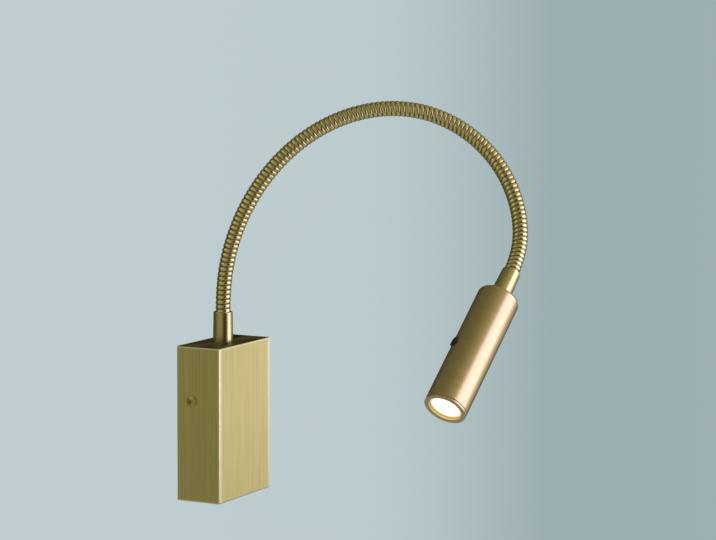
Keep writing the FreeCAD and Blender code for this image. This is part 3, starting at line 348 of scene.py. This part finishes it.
NODE_MATERIALS = {
    "cover": ["base_cover"],
    "head": ["head_barrel", "bezel_ring"],
    "ferrule": ["lower_ferrule"],
    "head_ferrule": ["upper_ferrule"],
    "screw": ["cover_screws"],
    "steel": ["wall_bracket", "ferrule_washer", "ferrule_nut", "head_nut", "terminal_screws",
              "terminal_mount_screw", "earth_screw", "cord_clamp_screws", "driver_screws",
              "led_board_screws"],
    "black": ["switch_button", "driver_chips"],
    "white": ["terminal_block", "driver_case", "driver_lid", "cord_clamp"],
    "grey": ["switch_body", "switch_holder"],
    "board": ["driver_board"],
    "tape": ["driver_transformer"],
    "sleeve": ["driver_capacitors"],
    "brown": ["live_lead"],
    "blue": ["neutral_lead"],
    "earth": ["earth_lead"],
    "red": ["feed_core", "switched_core"],
    "black_wire": ["return_core"],
    "rubber": ["supply_grommet"],
    "aluminium": ["heat_sink"],
    "board_white": ["led_board"],
    "phosphor": ["led_emitter"],
    "mirror": ["reflector"],
    "lens": ["lens"],
}


def paint(obj, material):
    obj.data.materials.clear()
    obj.data.materials.append(material)


def shade_smooth(obj, angle=30.0):
    mesh = obj.data
    mesh.polygons.foreach_set("use_smooth", [True] * len(mesh.polygons))
    mesh.set_sharp_from_angle(angle=math.radians(angle))


# ---------------------------------------------------------------------------------------------
# Flexible neck
# ---------------------------------------------------------------------------------------------

RIB_PITCH = 3.05 * MM
RIB_RADIUS = 4.9 * MM
RIB_DEPTH = 0.65 * MM
RIB_STEPS = 10
RIB_SIDES = 40
SAMPLE = 0.25 * MM
CURVE_STEPS = 24          # points of the centre line from one joint to the next
SMOOTH_PASSES = 400       # times that the centre line is evened out
LINE_MARGIN = 6.0 * MM    # the centre line reaches this far into both ferrules
SOCKET_DEPTH = 1.5 * MM   # the wound skin goes this far into the lower ferrule
LEAD_RADIUS = 1.3 * MM
LEAD_SIDES = 14
LEAD_STEP = 1.5 * MM
LEAD_LAP = 1.0 * MM       # the lead's fixed ends lap the bending ones by this in the box
HEAD_LEAD_LAP = 2.0 * MM  # and by this in the head
HEAD_LEAD_REACH = 50.0 * MM
BOX_FRONT_LIMIT = -0.03   # the lead's end in the box lies between this place and the wall
# painted shade, nearly black, laid in the grooves between the neck's ribs
GROOVE_SHADE = (0.03, 0.022, 0.006)
GROOVE_SHADE_SHARE = 0.95


def mesh_points(node):
    return np.array([v.co for v in frame["nodes"][node].data.vertices], float)


def neck_curve():
    """Points along the neck's centre line: smooth, midway between the curve that passes through
    the joints and the one that cuts their corners, with straight ends in the ferrules."""
    mouth = Vector((CENTRES[0].x, CENTRES[0].y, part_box("lower_ferrule")[1].z))
    reach = (mesh_points("upper_ferrule") - np.array(CENTRES[-1])) @ np.array(HEAD_AXIS)
    low = mouth - Vector((0, 0, LINE_MARGIN))
    high = CENTRES[-1] + HEAD_AXIS * (reach.min() + LINE_MARGIN)
    pitch = (CENTRES[1] - CENTRES[0]).length
    knots = [CENTRES[0] - Vector((0, 0, pitch))] + CENTRES + [CENTRES[-1] + HEAD_AXIS * pitch]
    runs = [(b - a).normalized() for a, b in zip(knots, knots[1:])]
    tangents = [(a + b).normalized() for a, b in zip(runs, runs[1:])]
    curve = []
    for i in range(len(CENTRES) - 1):
        a, b = CENTRES[i], CENTRES[i + 1]
        ta, tb = tangents[i] * (b - a).length, tangents[i + 1] * (b - a).length
        for k in range(CURVE_STEPS):
            u = k / CURVE_STEPS
            passing = (a * (2 * u ** 3 - 3 * u ** 2 + 1) + ta * (u ** 3 - 2 * u ** 2 + u)
                       + b * (3 * u ** 2 - 2 * u ** 3) + tb * (u ** 3 - u ** 2))
            at, v = (i + 1, u + 0.5) if u < 0.5 else (i + 2, u - 0.5)
            cutting = (knots[at - 1] * ((1 - v) ** 2 / 2) + knots[at] * (0.5 + v - v * v)
                       + knots[at + 1] * (v * v / 2))
            curve.append((passing + cutting) / 2)
    return [low, low.lerp(curve[0], 0.8)] + curve[1:] + [CENTRES[-1].lerp(high, 0.2), high]


class Line:
    """A smooth centre line with a frame that doesn't twist."""

    def __init__(self, points):
        path = np.array(points, float)
        length = np.concatenate([[0], np.cumsum(np.linalg.norm(np.diff(path, axis=0), axis=1))])
        self.length = np.linspace(0, length[-1], int(length[-1] / SAMPLE) + 1)
        path = np.stack([np.interp(self.length, length, path[:, k]) for k in range(3)], axis=1)
        for _ in range(SMOOTH_PASSES):
            path[1:-1] = path[1:-1] * 0.5 + (path[:-2] + path[2:]) * 0.25
        tangent = np.gradient(path, self.length, axis=0)
        tangent /= np.linalg.norm(tangent, axis=1)[:, None]
        side = np.zeros_like(path)
        here = np.array([1.0, 0.0, 0.0])
        for i, along in enumerate(tangent):
            here = here - along * (here @ along)
            here /= np.linalg.norm(here)
            side[i] = here
        self.path, self.tangent, self.side, self.total = path, tangent, side, self.length[-1]

    def at(self, distance):
        """Point, side and upward direction at a distance, or at many."""
        point, tangent, side = (
            np.stack([np.interp(distance, self.length, rows[:, k]) for k in range(3)], axis=-1)
            for rows in (self.path, self.tangent, self.side))
        return point, side, np.cross(tangent, side)

    def nearest(self, point):
        return self.length[np.argmin(((self.path - np.array(point)) ** 2).sum(1))]


def grid_piece(name, points, normals, wraps):
    """A mesh from a grid of points with its own normals, and a UV map that follows the grid."""
    rows, columns = points.shape[:2]
    faces = [(a, a + 1, a + 1 + columns, a + columns)
             for row in range(rows - 1) for a in range(row * columns, (row + 1) * columns - 1)]
    mesh = bpy.data.meshes.new(name)
    mesh.from_pydata(points.reshape(-1, 3).tolist(), [], faces)
    corners = np.array(faces).ravel()
    layer = mesh.uv_layers.new(name="wrap")
    layer.data.foreach_set("uv", wraps.reshape(-1, 2)[corners].astype(np.float32).ravel())
    mesh.polygons.foreach_set("use_smooth", [True] * len(faces))
    mesh.normals_split_custom_set_from_vertices(normals.reshape(-1, 3).tolist())
    mesh.update()
    obj = bpy.data.objects.new(name, mesh)
    bpy.context.scene.collection.objects.link(obj)
    return obj


def tube_grid(line, distance, radius, sides):
    """Points, normals and wraps of a tube whose rows and columns have the distances given.
    The outer columns overlap the seam by one, so that the normals match across it."""
    columns = np.arange(-1, sides + 2)
    angle = 2 * math.pi * columns / sides
    centre, side, up = line.at(np.clip(distance, 0, line.total))
    out = side * np.cos(angle)[None, :, None] + up * np.sin(angle)[None, :, None]
    points = centre + out * radius[..., None]
    normals = np.cross(np.gradient(points, axis=1), np.gradient(points, axis=0))
    size = np.linalg.norm(normals, axis=2, keepdims=True)
    normals = np.where(size > 1e-14, normals / np.maximum(size, 1e-14), out)
    return points[:, 1:-1], normals[:, 1:-1], columns[1:-1]


def rib_radius(step):
    """Radius of the skin at a share of one rib: a round back with a narrow groove."""
    across = 2 * step - 1
    return RIB_RADIUS - RIB_DEPTH * (1 - np.sqrt(np.maximum(0.0, 1 - across ** 2)))


def wound_skin(line, start, end):
    """Grid of the wound skin. Its rows follow the helix, which climbs one rib pitch a turn."""
    first = int(start / RIB_PITCH * RIB_STEPS) - RIB_STEPS
    last = int(end / RIB_PITCH * RIB_STEPS) + 1
    rows = np.arange(first, last + 1)
    columns = np.arange(-1, RIB_SIDES + 2)
    distance = (rows[:, None] / RIB_STEPS + columns[None, :] / RIB_SIDES) * RIB_PITCH
    radius = np.repeat(rib_radius((rows % RIB_STEPS) / RIB_STEPS)[:, None], len(columns), axis=1)
    points, normals, columns = tube_grid(line, np.clip(distance, start, end), radius, RIB_SIDES)
    wraps = np.broadcast_arrays(columns[None, :] / RIB_SIDES, rows[:, None] / RIB_STEPS)
    wraps = np.stack(wraps, axis=-1)
    return rows, points, normals, wraps


def plain_lead(line, start, end):
    rows = np.linspace(start, end, int((end - start) / LEAD_STEP) + 2)
    distance = np.repeat(rows[:, None], LEAD_SIDES + 3, axis=1)
    points, normals, columns = tube_grid(line, distance, np.full(distance.shape, LEAD_RADIUS), LEAD_SIDES)
    wraps = np.stack(np.broadcast_arrays(columns[None, :] / LEAD_SIDES, rows[:, None] / MM), axis=-1)
    return points, normals, wraps


def part_of_node(name, node, keep):
    """A new piece from the faces of a CAD node whose corners all pass a test."""
    mesh = frame["nodes"][node].data
    kept = [tuple(face.vertices) for face in mesh.polygons
            if all(keep(mesh.vertices[i].co) for i in face.vertices)]
    used = sorted({i for face in kept for i in face})
    place = {old: new for new, old in enumerate(used)}
    made = bpy.data.meshes.new(name)
    made.from_pydata([mesh.vertices[i].co[:] for i in used], [], [[place[i] for i in f] for f in kept])
    made.update()
    obj = bpy.data.objects.new(name, made)
    bpy.context.scene.collection.objects.link(obj)
    shade_smooth(obj)
    return obj


def neck_material():
    """Wound brass: plain on the rib backs, with painted shade, nearly black, in the grooves."""
    material = bpy.data.materials.new("wound_brass")
    tree = Tree(material)
    place = tree.add("UVMap", {"uv_map": "wrap"}).outputs[0]
    parts = tree.add("SeparateXYZ", Vector=place)
    turn = tree.math("FRACT", parts.outputs[1])
    centred = tree.math("ABSOLUTE", tree.math("MULTIPLY_ADD", turn, 2.0, -1.0))
    groove = tree.math("POWER", centred, 3.0)
    spots = noise(tree, stretched(tree, place, (6.0, 1.0, 1.0)), 2.0)
    brass = tree.ramp(spots, (0.3, rgb(*NECK_DARK)), (0.7, rgb(*NECK_LIGHT)))
    # painted shade in the grooves
    colour = tree.mix(tree.math("MULTIPLY", groove, GROOVE_SHADE_SHARE), brass, rgb(*GROOVE_SHADE))
    shader = tree.add("BsdfPrincipled", Base_Color=colour,
                      Roughness=tree.math("MULTIPLY_ADD", spots, 0.10, 0.16))
    shader.inputs["Metallic"].default_value = 1.0
    finish_material(tree, shader)
    return material


def build_neck(materials):
    """The wound skin and the lead in it, each cut halfway along every neck length, so that each
    piece spans one joint."""
    line = Line(neck_curve())
    places = [line.nearest(c) for c in CENTRES]
    middles = [(a + b) / 2 for a, b in zip(places, places[1:])]
    skin_start, skin_end = LINE_MARGIN - SOCKET_DEPTH, line.total - LINE_MARGIN
    rows, points, normals, wraps = wound_skin(line, skin_start, skin_end)
    cuts = [0] + [int(np.searchsorted(rows, m / RIB_PITCH * RIB_STEPS)) for m in middles] + [len(rows) - 1]
    lead_limits = [0.0] + middles + [line.total]
    wound = neck_material()
    for i in range(len(CENTRES)):
        number = "%02d" % (i + 1)
        span = slice(cuts[i], cuts[i + 1] + 1)
        skin = grid_piece("neck_skin_" + number, points[span], normals[span], wraps[span])
        paint(skin, wound)
        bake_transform(skin)
        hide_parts("neck_link_" + number)
        lead = grid_piece("neck_lead_" + number, *plain_lead(line, lead_limits[i], lead_limits[i + 1]))
        paint(lead, materials["jacket"])
        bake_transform(lead)
        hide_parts("neck_lead")
    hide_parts("neck_link_%02d" % (len(CENTRES) + 1))
    low, high = Vector(line.path[0]), Vector(line.path[-1])
    ends = [("neck_lead_box", LINK_BODIES[0], lambda co: co.z < low.z + LEAD_LAP and co.y > BOX_FRONT_LIMIT),
            ("neck_lead_head", LINK_BODIES[-1], lambda co: (co - high).dot(HEAD_AXIS) > -HEAD_LEAD_LAP
             and (co - high).length < HEAD_LEAD_REACH)]
    for name, body, keep in ends:
        end = part_of_node(name, "neck_lead", keep)
        paint(end, materials["jacket"])
        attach(end, body)
        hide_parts("neck_lead")


# ---------------------------------------------------------------------------------------------
# Camera, light and background
# ---------------------------------------------------------------------------------------------

IMAGE_WIDTH = 716
SENSOR = 36.0
FOCAL_PIXELS = 2356.44
CAMERA_TURN = math.radians(-62.8269)
CAMERA_RISE = math.radians(6.0961)
CAMERA_ROLL = math.radians(0.27246)
CAMERA_DISTANCE = 1.58928
CAMERA_AIM = Vector((0.101978, -0.060, 0.089219))


def make_camera():
    data = bpy.data.cameras.new("camera")
    data.sensor_width = SENSOR
    data.lens = SENSOR * FOCAL_PIXELS / IMAGE_WIDTH
    data.clip_start, data.clip_end = 0.05, 50.0
    camera = bpy.data.objects.new("camera", data)
    bpy.context.scene.collection.objects.link(camera)
    turn, rise, roll = CAMERA_TURN, CAMERA_RISE, CAMERA_ROLL
    back = Vector((math.sin(turn) * math.cos(rise), -math.cos(turn) * math.cos(rise), math.sin(rise)))
    level = Vector((math.cos(turn), math.sin(turn), 0.0))
    upward = back.cross(level)
    right = level * math.cos(roll) + upward * math.sin(roll)
    up = upward * math.cos(roll) - level * math.sin(roll)
    place = CAMERA_AIM + back * CAMERA_DISTANCE
    camera.matrix_world = Matrix((
        (right.x, up.x, back.x, place.x),
        (right.y, up.y, back.y, place.y),
        (right.z, up.z, back.z, place.z),
        (0.0, 0.0, 0.0, 1.0),
    ))
    bpy.context.scene.camera = camera


def area_light(name, direction, distance, size, radiance, colour):
    """A soft square lamp that faces the object and looks as bright as the radiance given."""
    data = bpy.data.lights.new(name, "AREA")
    data.shape = "SQUARE"
    data.size = size
    data.energy = radiance * math.pi * size * size
    data.color = colour
    lamp = bpy.data.objects.new(name, data)
    bpy.context.scene.collection.objects.link(lamp)
    toward = Vector(direction).normalized()
    lamp.location = LIGHT_AIM + toward * distance
    lamp.rotation_mode = "QUATERNION"
    lamp.rotation_quaternion = toward.to_track_quat("Z", "Y")
    return lamp


LIGHT_AIM = Vector((0.01, -0.10, 0.08))
# backdrop tones by the turn from -y towards +x in degrees: pale wall tone, with painted shade darkening it
# from 85 to 123.5 degrees, most from 109.5 to 112.5
BACKDROP_AND_SHADE = [(-180, (0.53, 0.62, 0.645)), (85, (0.53, 0.62, 0.645)), (109.5, (0.33, 0.425, 0.435)),
            (112.5, (0.33, 0.425, 0.435)), (116.2, (0.50, 0.59, 0.61)), (123.5, (0.53, 0.62, 0.645))]


def make_world():
    """Pale wall tone behind the object, with painted shade: a darker band on the camera's right. The metal
    mirrors a soft studio that is pale on the camera's left and in front of the lamp, high and low, and dim
    behind the camera and by the wall."""
    world = bpy.data.worlds.new("studio")
    bpy.context.scene.world = world
    tree = Tree(world)
    direction = tree.add("TexCoord").outputs["Generated"]
    parts = tree.add("SeparateXYZ", Vector=direction)
    height = tree.math("MULTIPLY_ADD", parts.outputs[2], 0.5, 0.5)
    turn = tree.math("ARCTAN2", parts.outputs[0], tree.math("MULTIPLY", parts.outputs[1], -1.0))
    turn = tree.math("MULTIPLY_ADD", turn, 0.5 / math.pi, 0.5)
    around = tree.ramp(turn, *[(0.5 + degrees / 360, studio(level)) for degrees, level in STUDIO_AROUND])
    glow = tree.math("MULTIPLY_ADD", tree.towards(direction, STUDIO_GLOW), 0.5, 0.5)
    overhead = tree.ramp(glow, *[(place, studio(level)) for place, level in STUDIO_OVERHEAD])
    above = tree.ramp(height, (0.64, NONE), (0.82, FULL))
    below = tree.ramp(height, (0.12, FULL), (0.24, NONE))
    mirrored = tree.mix(above, around, overhead)
    mirrored = tree.mix(below, mirrored, studio(STUDIO_FLOOR))
    sheet = tree.ramp(tree.towards(direction, STUDIO_SHEET), (0.925, NONE), (0.97, FULL))
    mirrored = tree.mix(sheet, mirrored, studio(STUDIO_SHEET_LEVEL))
    room = tree.ramp(height, (0.0, rgb(0.34, 0.34, 0.33)), (0.5, rgb(0.36, 0.37, 0.37)),
                     (0.72, rgb(0.20, 0.205, 0.21)), (1.0, rgb(0.13, 0.13, 0.135)))
    rays = tree.add("LightPath")
    lit = tree.mix(rays.outputs["Is Glossy Ray"], room, mirrored)
    through = tree.math("MAXIMUM", rays.outputs["Is Camera Ray"], rays.outputs["Is Transmission Ray"])
    # pale backdrop with a painted shaded band
    backdrop_and_shade = tree.ramp(turn, *[(0.5 + degrees / 360, rgb(*colour)) for degrees, colour in BACKDROP_AND_SHADE])
    sky = tree.add("Background", Color=tree.mix(through, lit, backdrop_and_shade), Strength=1.0)
    tree.tree.links.new(sky.outputs[0], tree.add("OutputWorld").inputs["Surface"])


def studio(level):
    return rgb(*[level * share for share in STUDIO_TONE])


# The studio that the metal mirrors: levels by the turn from -y towards +x in degrees, and overhead by
# how far a direction lies towards the glow.
STUDIO_TONE = (1.0, 0.98, 0.84)
STUDIO_GLOW = (0.30, -0.72, 0.62)
STUDIO_OVERHEAD = [(0.30, 0.10), (0.50, 0.14), (0.66, 0.19), (0.80, 0.27), (0.88, 0.36), (0.95, 0.50)]
STUDIO_FLOOR = 0.10
STUDIO_SHEET = (-0.17, -0.80, -0.57)    # a pale sheet low in front
STUDIO_SHEET_LEVEL = 0.55
STUDIO_AROUND = [(-180, 0.10), (-152, 0.11), (-125, 0.34), (-90, 0.38), (-72, 0.31), (-58, 0.14),
                 (-46, 0.04), (-28, 0.02), (-16, 0.20), (42, 0.62), (63, 0.52), (79, 0.18), (93, 0.03),
                 (128, 0.03), (150, 0.10), (180, 0.10)]


def make_lights():
    area_light("key", (0.23, -0.96, 0.12), 0.80, 0.80, KEY_LEVEL, (1.0, 0.90, 1.85))
    area_light("back_fill", (-0.56, 0.66, 0.50), 1.2, 1.0, 0.35, (1.0, 0.99, 0.97))


KEY_LEVEL = 1.8


def make_floor():
    """Plain pale floor under the lamp, as far below it as below a bedside wall lamp."""
    mesh = bpy.data.meshes.new("floor")
    turns = [math.tau * i / FLOOR_SIDES for i in range(FLOOR_SIDES)]
    corners = [(FLOOR_RADIUS * math.cos(turn), FLOOR_RADIUS * math.sin(turn), FLOOR_UP) for turn in turns]
    mesh.from_pydata(corners, [], [tuple(range(FLOOR_SIDES))])
    floor = bpy.data.objects.new("floor", mesh)
    bpy.context.scene.collection.objects.link(floor)
    material = bpy.data.materials.new("pale_floor")
    tree = Tree(material)
    speck = noise(tree, tree.add("TexCoord").outputs["Object"], 30.0)
    colour = tree.ramp(speck, (0.3, rgb(*FLOOR_DARK)), (0.7, rgb(*FLOOR_LIGHT)))
    rays = tree.add("LightPath")
    seen = tree.math("MAXIMUM", rays.outputs["Is Camera Ray"], rays.outputs["Is Transmission Ray"])
    seen = tree.math("MAXIMUM", seen, rays.outputs["Is Glossy Ray"])
    shader = tree.add("BsdfPrincipled", Base_Color=colour, Emission_Color=colour,
                      Emission_Strength=tree.math("MULTIPLY", seen, FLOOR_GLOW))
    shader.inputs["Roughness"].default_value = 0.9
    finish_material(tree, shader)
    paint(floor, material)


FLOOR_DARK = (0.66, 0.70, 0.71)
FLOOR_LIGHT = (0.72, 0.76, 0.77)
FLOOR_SIDES = 96
FLOOR_RADIUS = 1.3
FLOOR_UP = -1.05
FLOOR_GLOW = 0.25


def main():
    materials = make_materials()
    for key, names in NODE_MATERIALS.items():
        for name in names:
            node = frame["nodes"][name]
            paint(node, materials[key])
            shade_smooth(node)
    build_neck(materials)
    make_camera()
    make_world()
    make_lights()
    make_floor()
    bpy.context.scene.view_settings.view_transform = "Standard"


main()
